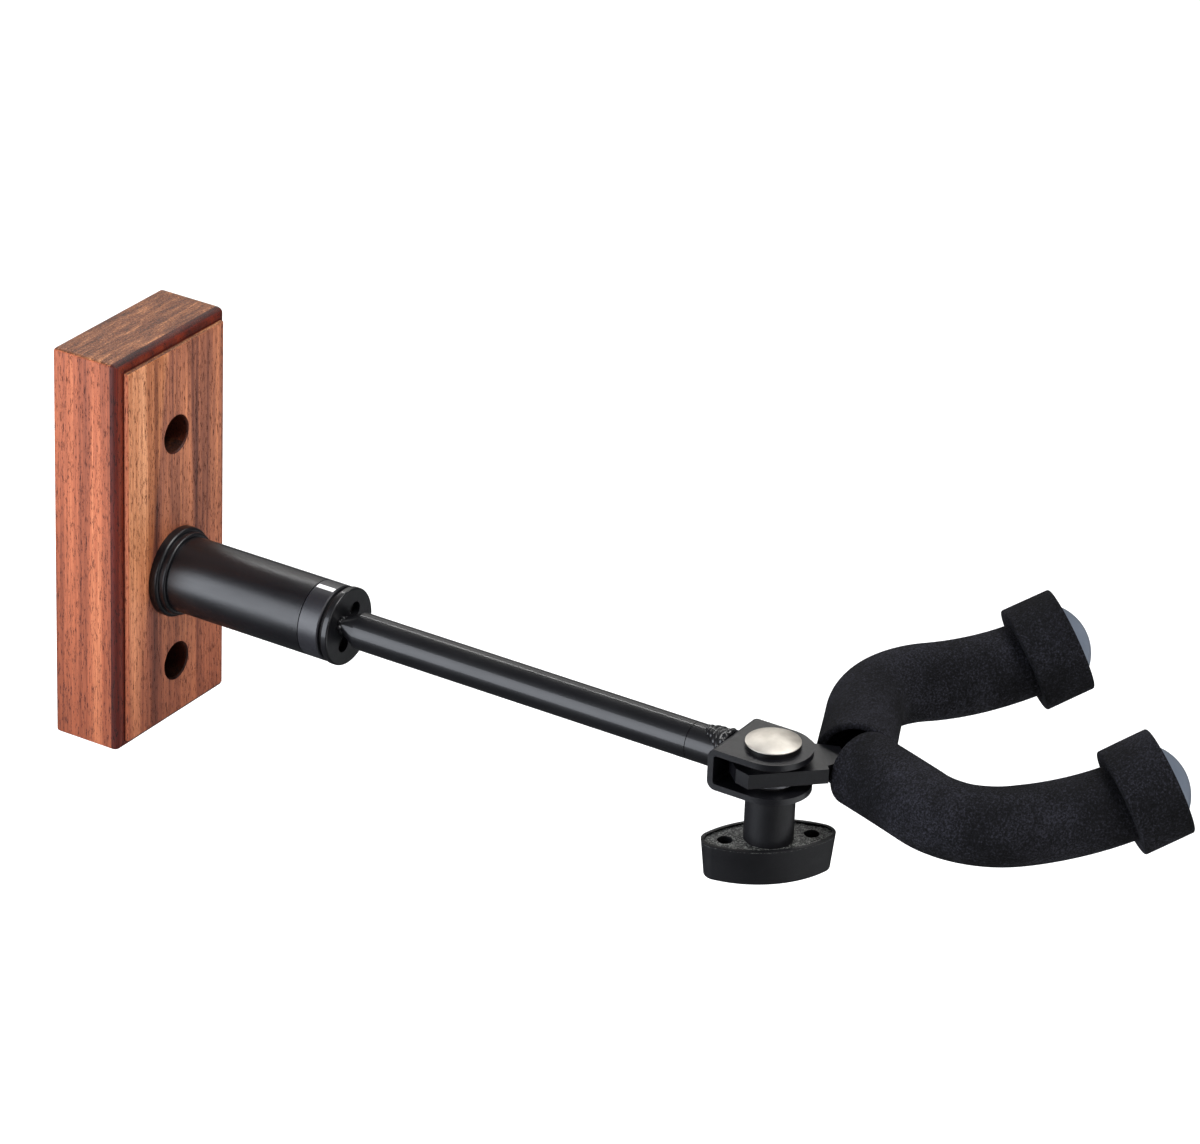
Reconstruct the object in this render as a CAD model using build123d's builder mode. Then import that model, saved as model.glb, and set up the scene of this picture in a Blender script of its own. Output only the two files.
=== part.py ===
"""Wall guitar hanger: a wooden wall block, an arm that turns in a steel barrel, a padded fork on a clamped pivot.

Frame: X to the right, +Y into the wall, +Z up. The origin is on the wall face, behind the arm's axis.
The arm leaves the wall along -Y. Lengths are millimetres, and a "reach" is a distance out from the wall face.
"""

import os
from math import cos, radians, sin, sqrt, tan

from build123d import *

# ---- wooden wall block ----
block_width = 59.4
block_top = 84.1
block_bottom = -56.4
block_thick = 27.7
side_reach = 22.8
step_reach = 25.9
ovolo_inset = 2.6
panel_inset = 3.3
panel_edge_radius = 0.6
screw_centre = 8.0
screw_pitch = 83.5
screw_hole_radius = 3.0
screw_seat_radius = 6.35
screw_seat_depth = 11.0

# ---- barrel on the block ----
barrel_radius = 12.9
barrel_bore = 10.4
barrel_end = 85.5
flange_radius = 15.4
flange_thick = 3.2
flange_step_radius = 14.2
flange_step_thick = 2.2
collar_end = 93.3
collar_spigot_start = 74.5
bush_radius = 6.5
plug_end = 39.5
mount_bolt_radius = 4.0
mount_bolt_end = 38.0
mount_head_flats = 13.0
mount_head_height = 5.3
back_recess_radius = 13.0
back_recess_depth = 9.0
back_washer_thick = 2.0
mark_width = 1.9
mark_depth = 0.8
mark_angle = 9.0

# ---- turning arm ----
running_gap = 0.05
spindle_radius = 5.0
spindle_end = 53.5
disc_start = 94.8
disc_thick = 2.5
disc_radius = 13.2
disc_hole_radius = 2.75
disc_hole_offset = 6.0
disc_hole_angle = 58.0
spring_washer_count = 4
spring_washer_thick = 0.9
spring_washer_rise = 0.45
flat_washer_thick = 1.5
nut_flats = 16.0
nut_height = 9.0
tube_radius = 6.3
tube_wall = 1.5
tube_pinch_length = 5.0
tube_pinch_half = 3.2
tube_spread_half = 7.2
tube_end_length = 12.8
tube_seam = 0.25

# ---- clevis and pivot bolt ----
pivot_reach = 258.1
clevis_half_width = 12.9
clevis_back = 15.9
clevis_height = 14.2
clevis_plate = 2.1
clevis_bend = 3.0
pin_radius = 4.0
neck_side = 8.0
head_radius = 8.9
head_rim = 0.3
head_dome = 2.1
head_washer_thick = 1.6
head_washer_radius = 8.9
friction_washer_radius = 9.0
friction_washer_thick = 2.45
wear_washer_radius = 8.6
wear_washer_thick = 1.0
spacer_radius = 7.0
pin_end_z = -30.0

# ---- padded fork ----
fork_angle = 46.8
plate_thick = 5.0
plate_half_width = 9.8
plate_back = 12.9
plate_back_half = 3.9
plate_corner = 10.2
plate_corner_half = 8.8
plate_taper = 15.6
plate_neck = 15.9
plate_neck_half = 7.5
plate_front = 23.2
plate_front_half = 4.2
rod_radius = 4.0
rod_drop = 1.8
base_reach = 26.8
base_bend = 12.0
splay_angle = 68.0
fork_half_gap = 48.5
side_bend = 28.7
rise_bend = 107.6
rise_angle = 22.8
tip_straight = 7.1
sleeve_radius = 12.6
sleeve_start = 3.1
sleeve_parting = 0.15
collar_radius = 17.7
collar_length = 17.0
cap_radius = 12.0
cap_dome = 5.3
cap_boss_radius = 6.5
cap_boss_length = 7.0
cap_bore_depth = 5.0

# ---- clamp knob ----
knob_washer_thick = 1.0
knob_washer_radius = 8.4
stem_radius = 8.0
knob_top_z = -24.7
knob_height = 13.1
knob_half_length = 24.7
knob_half_width = 10.5
knob_tip_radius = 5.5
knob_taper = 6.0
knob_rim = 1.1
knob_recess = 0.6
knob_angle = 44.0
knob_hole_radius = 2.5
knob_hole_offset = 14.0
knob_hole_depth = 8.0
insert_radius = 6.0
insert_length = 14.0
knob_bore_radius = 4.7
knob_bore_bottom = -32.5

wall = Plane(origin=(0, 0, 0), x_dir=(1, 0, 0), z_dir=(0, -1, 0))
axis_section = Plane(origin=(0, 0, 0), x_dir=(1, 0, 0), z_dir=(0, 0, 1))
arm_axis = Axis((0, 0, 0), (0, 1, 0))
pivot = Plane(origin=(0, -pivot_reach, 0), x_dir=(0, -1, 0), z_dir=(0, 0, 1))
pivot_section = Plane(origin=(0, -pivot_reach, 0), x_dir=(1, 0, 0), z_dir=(0, -1, 0))
pivot_axis = Axis((0, -pivot_reach, 0), (0, 0, 1))


def turned_out(angle):
    """A level plane at the pivot, with its X axis turned from -Y towards +X by an angle in degrees."""
    turn = radians(angle)
    return Plane(origin=(0, -pivot_reach, 0), x_dir=(sin(turn), -cos(turn), 0), z_dir=(0, 0, 1))


fork = turned_out(fork_angle)
knob_level = turned_out(knob_angle)
block_height = block_top - block_bottom
block_middle = (block_top + block_bottom) / 2
clevis_gap = clevis_height - 2 * clevis_plate
head_base = clevis_height / 2 + head_washer_thick
stem_top = -clevis_height / 2 - knob_washer_thick
nut_side = nut_flats / 2

os.makedirs("parts", exist_ok=True)


# ---- wood_block: moulded round its front, counterbored for two wall screws and, behind, for the barrel's bolt ----
def block_profile(half):
    """Half of the block's cross-section: flat side, rounded ovolo, small step, raised front panel."""
    drop = step_reach - side_reach
    bulge = (ovolo_inset - ovolo_inset * cos(radians(45)), side_reach + drop * sin(radians(45)))
    Polyline((0, 0), (half, 0), (half, side_reach))
    ThreePointArc((half, side_reach), (half - bulge[0], bulge[1]), (half - ovolo_inset, step_reach))
    Polyline(
        (half - ovolo_inset, step_reach),
        (half - panel_inset, step_reach),
        (half - panel_inset, block_thick - panel_edge_radius),
        (half - panel_inset - panel_edge_radius, block_thick),
        (0, block_thick),
    )


with BuildPart() as wood_block:
    with BuildSketch(Plane(origin=(0, 0, block_bottom), x_dir=(1, 0, 0), z_dir=(0, 0, -1))):
        with BuildLine():
            block_profile(block_width / 2)
            mirror(about=Plane.YZ)
        make_face()
    extrude(amount=-block_height)
    with BuildSketch(Plane(origin=(-block_width / 2, 0, block_middle), x_dir=(0, 0, 1), z_dir=(1, 0, 0))):
        with BuildLine():
            block_profile(block_height / 2)
            mirror(about=Plane.YZ)
        make_face()
    extrude(amount=block_width, mode=Mode.INTERSECT)
    with Locations(wall.offset(block_thick)):
        with Locations((0, screw_centre + screw_pitch / 2), (0, screw_centre - screw_pitch / 2)):
            CounterBoreHole(screw_hole_radius, screw_seat_radius, screw_seat_depth)
    with BuildSketch(wall):
        Circle(back_recess_radius)
    extrude(amount=back_recess_depth, mode=Mode.SUBTRACT)
    with BuildSketch(wall):
        Circle(mount_bolt_radius)
    extrude(amount=block_thick, mode=Mode.SUBTRACT)
wood_block.part.label = "wood_block"
export_step(wood_block.part, "parts/wood_block.step")


def annulus(outer, inner):
    """Draws a round ring: a circle with a smaller circle taken out of it."""
    Circle(outer)
    Circle(inner, mode=Mode.SUBTRACT)


# ---- mounting_bolt and back_washer: pull the barrel onto the block from behind ----
mount_head_start = back_recess_depth - back_washer_thick - mount_head_height
with BuildPart() as mounting_bolt:
    with BuildSketch(wall.offset(mount_head_start)):
        RegularPolygon(mount_head_flats / 2, 6, major_radius=False)
    extrude(amount=mount_head_height)
    chamfer(mounting_bolt.faces().sort_by(Axis.Y)[-1].edges(), 0.5)
    with BuildSketch(wall.offset(mount_head_start)):
        Circle(mount_bolt_radius)
    extrude(amount=mount_bolt_end - mount_head_start)
    chamfer(mounting_bolt.faces().sort_by(Axis.Y)[0].edges(), 0.8)
mounting_bolt.part.label = "mounting_bolt"
export_step(mounting_bolt.part, "parts/mounting_bolt.step")

with BuildPart() as back_washer:
    with BuildSketch(wall.offset(back_recess_depth - back_washer_thick)):
        annulus(back_recess_radius - 1.5, mount_bolt_radius)
    extrude(amount=back_washer_thick)
back_washer.part.label = "back_washer"
export_step(back_washer.part, "parts/back_washer.step")

# ---- base_flange: two rounded steps round the foot of the barrel ----
with BuildPart() as base_flange:
    with BuildSketch(wall.offset(block_thick)):
        annulus(flange_radius, barrel_radius)
    extrude(amount=flange_thick)
    outer_rim = base_flange.faces().sort_by(Axis.Y)[0].edges().sort_by(SortBy.RADIUS)[-1]
    fillet(outer_rim, 1.0)
    step_start = block_thick + flange_thick
    with BuildSketch(wall.offset(step_start)):
        annulus(flange_step_radius, barrel_radius)
    extrude(amount=flange_step_thick)
    step_rim = base_flange.faces().sort_by(Axis.Y)[0].edges().sort_by(SortBy.RADIUS)[-1]
    fillet(step_rim, 0.8)
base_flange.part.label = "base_flange"
export_step(base_flange.part, "parts/base_flange.step")

# ---- barrel_tube, with the threaded plug that takes the mounting bolt ----
with BuildPart() as barrel_tube:
    with BuildSketch(wall.offset(block_thick)):
        annulus(barrel_radius, barrel_bore)
    extrude(amount=barrel_end - block_thick)
barrel_tube.part.label = "barrel_tube"
export_step(barrel_tube.part, "parts/barrel_tube.step")

with BuildPart() as barrel_plug:
    with BuildSketch(wall.offset(block_thick)):
        annulus(barrel_bore, mount_bolt_radius)
    extrude(amount=plug_end - block_thick)
barrel_plug.part.label = "barrel_plug"
export_step(barrel_plug.part, "parts/barrel_plug.step")


# ---- index_collar, its bright index_mark, and the bush that the spindle turns in ----
mark_lean = radians(mark_angle)
mark_up = Vector(-sin(mark_lean), 0, cos(mark_lean))
mark_foot = mark_up * (barrel_radius - mark_depth) + Vector(0, -(barrel_end + collar_end) / 2, 0)
mark_floor = Plane(origin=mark_foot, x_dir=(0, -1, 0), z_dir=mark_up)
mark_length = collar_end - barrel_end - 1.2

with BuildPart() as index_collar:
    with BuildSketch(wall.offset(collar_spigot_start)):
        annulus(barrel_bore, bush_radius)
    extrude(amount=barrel_end - collar_spigot_start)
    with BuildSketch(wall.offset(barrel_end)):
        annulus(barrel_radius, bush_radius)
    extrude(amount=collar_end - barrel_end)
    collar_rims = index_collar.edges().filter_by(GeomType.CIRCLE).group_by(SortBy.RADIUS)[-1]
    chamfer(collar_rims, 0.35)
    with BuildSketch(mark_floor):
        Rectangle(mark_length, mark_width)
    extrude(amount=2 * mark_depth, mode=Mode.SUBTRACT)
index_collar.part.label = "index_collar"
export_step(index_collar.part, "parts/index_collar.step")

with BuildPart() as index_mark:
    with BuildSketch(mark_floor):
        Rectangle(mark_length, mark_width)
    extrude(amount=2 * mark_depth)
    with BuildSketch(wall.offset(barrel_end)):
        Circle(barrel_radius)
    extrude(amount=collar_end - barrel_end, mode=Mode.INTERSECT)
index_mark.part.label = "index_mark"
export_step(index_mark.part, "parts/index_mark.step")

with BuildPart() as spindle_bush:
    with BuildSketch(wall.offset(collar_spigot_start)):
        annulus(bush_radius, spindle_radius + running_gap)
    extrude(amount=collar_end - collar_spigot_start)
spindle_bush.part.label = "spindle_bush"
export_step(spindle_bush.part, "parts/spindle_bush.step")

# ---- spindle: turns in the bush, held by washers, disc springs and a lock nut ----
with BuildPart() as spindle:
    with BuildSketch(wall.offset(spindle_end)):
        Circle(spindle_radius)
    extrude(amount=disc_start - spindle_end)
    chamfer(spindle.faces().sort_by(Axis.Y)[-1].edges(), 0.8)
spindle.part.label = "spindle"
export_step(spindle.part, "parts/spindle.step")

with BuildPart() as thrust_washer:
    with BuildSketch(wall.offset(collar_end + running_gap)):
        annulus(barrel_radius - 1.4, spindle_radius)
    extrude(amount=disc_start - (collar_end + running_gap))
thrust_washer.part.label = "thrust_washer"
export_step(thrust_washer.part, "parts/thrust_washer.step")

stack_radius = barrel_bore - 0.6
stack_front = collar_spigot_start - running_gap
spring_front = stack_front - flat_washer_thick
spring_pitch = spring_washer_thick + spring_washer_rise
spring_back = spring_front - spring_washer_count * spring_pitch
nut_front = spring_back - flat_washer_thick

with BuildPart() as flat_washers:
    for washer_back in (spring_front, nut_front):
        with BuildSketch(wall.offset(washer_back)):
            annulus(stack_radius, spindle_radius)
        extrude(amount=flat_washer_thick)
flat_washers.part.label = "flat_washers"
export_step(flat_washers.part, "parts/flat_washers.step")

with BuildPart() as spring_washers:
    for index in range(spring_washer_count):
        near = spring_back + index * spring_pitch
        inner_near = near + spring_washer_rise * (index % 2)
        outer_near = near + spring_washer_rise * (1 - index % 2)
        with BuildSketch(axis_section):
            with BuildLine():
                Polyline(
                    (spindle_radius + 0.15, -inner_near),
                    (stack_radius, -outer_near),
                    (stack_radius, -outer_near - spring_washer_thick),
                    (spindle_radius + 0.15, -inner_near - spring_washer_thick),
                    close=True,
                )
            make_face()
        revolve(axis=arm_axis)
spring_washers.part.label = "spring_washers"
export_step(spring_washers.part, "parts/spring_washers.step")

with BuildPart() as lock_nut:
    with BuildSketch(wall.offset(nut_front - nut_height)):
        RegularPolygon(nut_side, 6, major_radius=False)
        Circle(spindle_radius, mode=Mode.SUBTRACT)
    extrude(amount=nut_height)
lock_nut.part.label = "lock_nut"
export_step(lock_nut.part, "parts/lock_nut.step")

# ---- arm_disc: closes the barrel's front, with two holes beside the pinched end of the tube ----
with BuildPart() as arm_disc:
    with BuildSketch(wall.offset(disc_start)):
        Circle(disc_radius)
        with PolarLocations(disc_hole_offset, 2, start_angle=disc_hole_angle):
            Circle(disc_hole_radius, mode=Mode.SUBTRACT)
    extrude(amount=disc_thick)
    disc_rims = arm_disc.edges().filter_by(GeomType.CIRCLE).group_by(SortBy.RADIUS)[-1]
    fillet(disc_rims, 0.6)
arm_disc.part.label = "arm_disc"
export_step(arm_disc.part, "parts/arm_disc.step")

# ---- arm_tube: pinched flat where it is welded to the disc, and a turned ferrule at its other end ----
tube_start = disc_start + disc_thick
pinch_end = tube_start + tube_pinch_length
tube_end = pivot_reach - clevis_back
ferrule_start = tube_end - tube_end_length
pinch_turn = radians(disc_hole_angle + 90)
pinch_plane = Plane(origin=(0, 0, 0), x_dir=(cos(pinch_turn), 0, sin(pinch_turn)), z_dir=(0, -1, 0))
with BuildPart() as arm_tube:
    with BuildSketch(pinch_plane.offset(tube_start)):
        Ellipse(tube_spread_half, tube_pinch_half)
    with BuildSketch(pinch_plane.offset(pinch_end)):
        Circle(tube_radius)
    loft()
    with BuildSketch(wall.offset(pinch_end)):
        Circle(tube_radius)
    extrude(amount=ferrule_start - pinch_end)
    with BuildSketch(wall.offset(pinch_end)):
        Circle(tube_radius - tube_wall)
    extrude(amount=ferrule_start - pinch_end, mode=Mode.SUBTRACT)
arm_tube.part.label = "arm_tube"
export_step(arm_tube.part, "parts/arm_tube.step")

with BuildPart() as arm_ferrule:
    with BuildSketch(wall.offset(ferrule_start - 2 * tube_end_length)):
        Circle(tube_radius - tube_wall)
    extrude(amount=2 * tube_end_length)
    with BuildSketch(wall.offset(ferrule_start)):
        Circle(tube_radius)
    extrude(amount=tube_end_length)
    back_rim = arm_ferrule.edges().filter_by(GeomType.CIRCLE).group_by(SortBy.RADIUS)[-1].sort_by(Axis.Y)[-1]
    chamfer(back_rim, tube_seam)
arm_ferrule.part.label = "arm_ferrule"
export_step(arm_ferrule.part, "parts/arm_ferrule.step")

# ---- clevis: a folded steel strap, square-holed above and round-holed below for the pivot bolt ----
web_inner_y = -pivot_reach + clevis_back - clevis_plate
with BuildPart() as clevis:
    with BuildSketch(pivot.offset(-clevis_height / 2)):
        with Locations((-clevis_back / 2, 0)):
            Rectangle(clevis_back, 2 * clevis_half_width)
        Circle(clevis_half_width)
    extrude(amount=clevis_height)
    fillet(clevis.faces().sort_by(Axis.Y)[-1].edges().filter_by(Axis.X), clevis_bend)
    with BuildSketch(pivot.offset(-clevis_gap / 2)):
        with Locations((clevis_plate, 0)):
            Rectangle(2 * clevis_back, 2 * clevis_half_width)
    extrude(amount=clevis_gap, mode=Mode.SUBTRACT)
    inner_bends = clevis.edges().filter_by(Axis.X).filter_by_position(Axis.Y, web_inner_y - 0.1, web_inner_y + 0.1)
    fillet(inner_bends, clevis_bend - clevis_plate)
    with BuildSketch(pivot.offset(clevis_gap / 2)):
        Rectangle(neck_side, neck_side)
    extrude(amount=clevis_plate, mode=Mode.SUBTRACT)
    with BuildSketch(pivot.offset(-clevis_height / 2)):
        Circle(pin_radius)
    extrude(amount=clevis_plate, mode=Mode.SUBTRACT)
clevis.part.label = "clevis"
export_step(clevis.part, "parts/clevis.step")

# ---- pivot_bolt: low domed head, square neck in the clevis, round shank down into the knob ----
dome_base = head_base + head_rim
dome_radius = (head_radius**2 + head_dome**2) / (2 * head_dome)
with BuildPart() as pivot_bolt:
    with BuildSketch(pivot_section):
        with BuildLine():
            Polyline((0, dome_base), (0, head_base), (head_radius, head_base), (head_radius, dome_base))
            RadiusArc((head_radius, dome_base), (0, dome_base + head_dome), -dome_radius)
            Line((0, dome_base + head_dome), (0, dome_base))
        make_face()
    revolve(axis=pivot_axis)
    with BuildSketch(pivot.offset(clevis_gap / 2)):
        Rectangle(neck_side, neck_side)
    extrude(amount=head_base - clevis_gap / 2)
    with BuildSketch(pivot.offset(pin_end_z)):
        Circle(pin_radius)
    extrude(amount=head_base - pin_end_z)
    chamfer(pivot_bolt.faces().sort_by(Axis.Z)[0].edges(), 0.7)
pivot_bolt.part.label = "pivot_bolt"
export_step(pivot_bolt.part, "parts/pivot_bolt.step")

with BuildPart() as head_washer:
    with BuildSketch(pivot.offset(clevis_height / 2)):
        Circle(head_washer_radius)
        Rectangle(neck_side, neck_side, mode=Mode.SUBTRACT)
    extrude(amount=head_washer_thick)
head_washer.part.label = "head_washer"
export_step(head_washer.part, "parts/head_washer.step")


# ---- friction_washers above and below the fork's tongue, with a bright steel wear_washer just under it ----
spacer_thick = friction_washer_thick - wear_washer_thick
with BuildPart() as friction_washers:
    with BuildSketch(pivot.offset(clevis_gap / 2 - friction_washer_thick)):
        annulus(friction_washer_radius, pin_radius)
    extrude(amount=friction_washer_thick)
    with BuildSketch(pivot.offset(-clevis_gap / 2)):
        annulus(spacer_radius, pin_radius)
    extrude(amount=spacer_thick)
friction_washers.part.label = "friction_washers"
export_step(friction_washers.part, "parts/friction_washers.step")

with BuildPart() as wear_washer:
    with BuildSketch(pivot.offset(spacer_thick - clevis_gap / 2)):
        annulus(wear_washer_radius, pin_radius)
    extrude(amount=wear_washer_thick)
wear_washer.part.label = "wear_washer"
export_step(wear_washer.part, "parts/wear_washer.step")

# ---- the fork's centreline, in the fork's own plane: blunt base, splayed shoulder, side bend, rising tip ----
splay = radians(splay_angle)
rise = radians(rise_angle)
base_side = base_bend * cos(splay)
base_point = base_reach + base_bend * (1 / sin(splay) - 1)
bend_side = fork_half_gap - side_bend * (1 - cos(splay))
bend_reach = base_reach + bend_side / tan(splay)
rise_reach = bend_reach + side_bend * sin(splay)
tip_reach = rise_reach + rise_bend * sin(rise)
tip_rise = rise_bend * (1 - cos(rise))


def shoulder_point(side, out):
    """A point on the straight shoulder, a given distance to one side of the fork's middle."""
    return (base_reach + out / tan(splay), side * out, -rod_drop)


def bend_point(side, share):
    """A point on the side bend: 0 at the shoulder, 1 where the rise starts."""
    heading = splay * (1 - share)
    return (
        rise_reach - side_bend * sin(heading),
        side * (fork_half_gap - side_bend * (1 - cos(heading))),
        -rod_drop,
    )


def rise_point(side, angle):
    """A point on the rising arc, where the fork's slope has reached an angle in radians."""
    return (rise_reach + rise_bend * sin(angle), side * fork_half_gap, rise_bend * (1 - cos(angle)) - rod_drop)


def tip_point(side, back):
    """A point on the straight tip, a given distance back from its end."""
    out = tip_straight - back
    return (tip_reach + out * cos(rise), side * fork_half_gap, tip_rise + out * sin(rise) - rod_drop)


def tip_face(side, back):
    """A plane square to the straight tip, set back from its end, facing outwards."""
    along = fork.x_dir * cos(rise) + fork.z_dir * sin(rise)
    return Plane(origin=fork.from_local_coords(tip_point(side, back)), x_dir=fork.y_dir, z_dir=along)


def arm_line(side, start):
    """One side of the fork, from a point on its shoulder out to its tip."""
    Line(shoulder_point(side, start), bend_point(side, 0))
    ThreePointArc(bend_point(side, 0), bend_point(side, 0.5), bend_point(side, 1))
    ThreePointArc(rise_point(side, 0), rise_point(side, rise / 2), rise_point(side, rise))


# ---- fork_rod: one round bar, bent to a blunt V at its base and up at its tips ----
rod_back = cap_boss_length - cap_bore_depth
with BuildPart() as fork_rod:
    with BuildLine(fork) as rod_line:
        base_arc = ThreePointArc(
            shoulder_point(-1, base_side), (base_point, 0, -rod_drop), shoulder_point(1, base_side)
        )
        for side in (-1, 1):
            arm_line(side, base_side)
            Line(rise_point(side, rise), tip_point(side, rod_back))
    with BuildSketch(tip_face(1, rod_back)):
        Circle(rod_radius)
    sweep(path=rod_line.line)
fork_rod.part.label = "fork_rod"
export_step(fork_rod.part, "parts/fork_rod.step")

# ---- fork_plate: the tongue in the clevis, with a blunt three-sided back and its front welded to the rod ----
with BuildPart() as fork_plate:
    with BuildSketch(fork.offset(-plate_thick / 2)):
        with BuildLine():
            Polyline(
                (-plate_back, plate_back_half),
                (-plate_corner, plate_corner_half),
                (plate_taper, plate_half_width),
                (plate_neck, plate_neck_half),
                (plate_front, plate_front_half),
                (plate_front, -plate_front_half),
                (plate_neck, -plate_neck_half),
                (plate_taper, -plate_half_width),
                (-plate_corner, -plate_corner_half),
                (-plate_back, -plate_back_half),
                close=True,
            )
        make_face()
        Circle(pin_radius + running_gap, mode=Mode.SUBTRACT)
    extrude(amount=plate_thick)
    add(fork_rod.part, mode=Mode.SUBTRACT)
fork_plate.part.label = "fork_plate"
export_step(fork_plate.part, "parts/fork_plate.step")

# ---- the padding on each side: long foam sleeve, wider foam collar at its tip, domed plastic cap ----
# The two sleeves press flat against each other at the fork's middle.
cap_radius_of_dome = (cap_radius**2 + cap_dome**2) / (2 * cap_dome)
for side, name in ((-1, "left"), (1, "right")):
    with BuildPart() as foam_sleeve:
        with BuildLine(fork) as sleeve_line:
            arm_line(side, sleeve_start)
            Line(rise_point(side, rise), tip_point(side, 0))
        with BuildSketch(tip_face(side, 0)):
            Circle(sleeve_radius)
            Circle(rod_radius, mode=Mode.SUBTRACT)
        sweep(path=sleeve_line.line)
        with BuildSketch(tip_face(side, cap_boss_length)):
            Circle(cap_boss_radius)
        extrude(amount=cap_boss_length, mode=Mode.SUBTRACT)
        parting = Plane(origin=fork.origin, x_dir=fork.x_dir, z_dir=side * fork.y_dir)
        split(bisect_by=parting.offset(sleeve_parting), keep=Keep.TOP)
    foam_sleeve.part.label = f"foam_sleeve_{name}"
    export_step(foam_sleeve.part, f"parts/foam_sleeve_{name}.step")

    with BuildPart() as foam_collar:
        with BuildSketch(tip_face(side, collar_length)):
            Circle(collar_radius)
        extrude(amount=collar_length)
        with BuildLine(fork) as collar_line:
            ThreePointArc(rise_point(side, 0), rise_point(side, rise / 2), rise_point(side, rise))
            Line(rise_point(side, rise), tip_point(side, 0))
        with BuildSketch(tip_face(side, 0)):
            Circle(sleeve_radius)
        sweep(path=collar_line.line, mode=Mode.SUBTRACT)
    foam_collar.part.label = f"foam_collar_{name}"
    export_step(foam_collar.part, f"parts/foam_collar_{name}.step")

    end_face = tip_face(side, 0)
    with BuildPart() as end_cap:
        with BuildSketch(Plane(origin=end_face.origin, x_dir=end_face.x_dir, z_dir=-end_face.y_dir)):
            with BuildLine():
                Line((0, 0), (cap_radius, 0))
                RadiusArc((cap_radius, 0), (0, cap_dome), -cap_radius_of_dome)
                Line((0, cap_dome), (0, 0))
            make_face()
        revolve(axis=Axis(end_face.origin, end_face.z_dir))
        with BuildSketch(tip_face(side, cap_boss_length)):
            Circle(cap_boss_radius)
        extrude(amount=cap_boss_length)
        with BuildSketch(tip_face(side, cap_boss_length)):
            Circle(rod_radius)
        extrude(amount=cap_bore_depth, mode=Mode.SUBTRACT)
    end_cap.part.label = f"end_cap_{name}"
    export_step(end_cap.part, f"parts/end_cap_{name}.step")


# ---- clamp_knob: a lens-shaped moulding on a round stem, with its threaded insert and washer ----
def lens_outline(inset):
    """Draws the knob's outline, set in by a distance: two arcs that meet in rounded tips."""
    side_radius = (knob_half_length**2 + knob_half_width**2) / (2 * knob_half_width)
    sink = side_radius - knob_half_width
    tip_centre = sqrt((side_radius - knob_tip_radius) ** 2 - sink**2)
    reach = (side_radius - inset) / (side_radius - knob_tip_radius)
    corner = (tip_centre * reach, sink * (reach - 1))
    tip = tip_centre + knob_tip_radius - inset
    half_width = knob_half_width - inset
    ThreePointArc((-corner[0], corner[1]), (0, half_width), corner)
    ThreePointArc(corner, (tip, 0), (corner[0], -corner[1]))
    ThreePointArc((corner[0], -corner[1]), (0, -half_width), (-corner[0], -corner[1]))
    ThreePointArc((-corner[0], -corner[1]), (-tip, 0), (-corner[0], corner[1]))


with BuildPart() as clamp_knob:
    with BuildSketch(knob_level.offset(knob_top_z)):
        with BuildLine():
            lens_outline(0)
        make_face()
    extrude(amount=-knob_height, taper=knob_taper)
    fillet(clamp_knob.faces().sort_by(Axis.Z)[0].edges(), 1.2)
    with BuildSketch(knob_level.offset(knob_top_z)):
        with BuildLine():
            lens_outline(knob_rim)
        make_face()
    extrude(amount=-knob_recess, mode=Mode.SUBTRACT)
    with BuildSketch(knob_level.offset(knob_top_z - knob_recess)):
        Circle(stem_radius)
    extrude(amount=stem_top - knob_top_z + knob_recess)
    with BuildSketch(knob_level.offset(knob_top_z)):
        with Locations((knob_hole_offset, 0), (-knob_hole_offset, 0)):
            Circle(knob_hole_radius)
    extrude(amount=-knob_hole_depth, mode=Mode.SUBTRACT)
    with BuildSketch(knob_level.offset(stem_top)):
        Circle(insert_radius)
    extrude(amount=-insert_length, mode=Mode.SUBTRACT)
    with BuildSketch(knob_level.offset(stem_top)):
        Circle(knob_bore_radius)
    extrude(amount=knob_bore_bottom - stem_top, mode=Mode.SUBTRACT)
clamp_knob.part.label = "clamp_knob"
export_step(clamp_knob.part, "parts/clamp_knob.step")

with BuildPart() as knob_insert:
    with BuildSketch(pivot.offset(stem_top - insert_length)):
        annulus(insert_radius, pin_radius + running_gap)
    extrude(amount=insert_length)
knob_insert.part.label = "knob_insert"
export_step(knob_insert.part, "parts/knob_insert.step")

with BuildPart() as knob_washer:
    with BuildSketch(pivot.offset(stem_top)):
        annulus(knob_washer_radius, pin_radius + running_gap)
    extrude(amount=knob_washer_thick)
knob_washer.part.label = "knob_washer"
export_step(knob_washer.part, "parts/knob_washer.step")
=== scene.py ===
from math import cos, pi, radians, sin

import bmesh
import bpy
import numpy as np
from mathutils import Matrix, Vector


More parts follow.
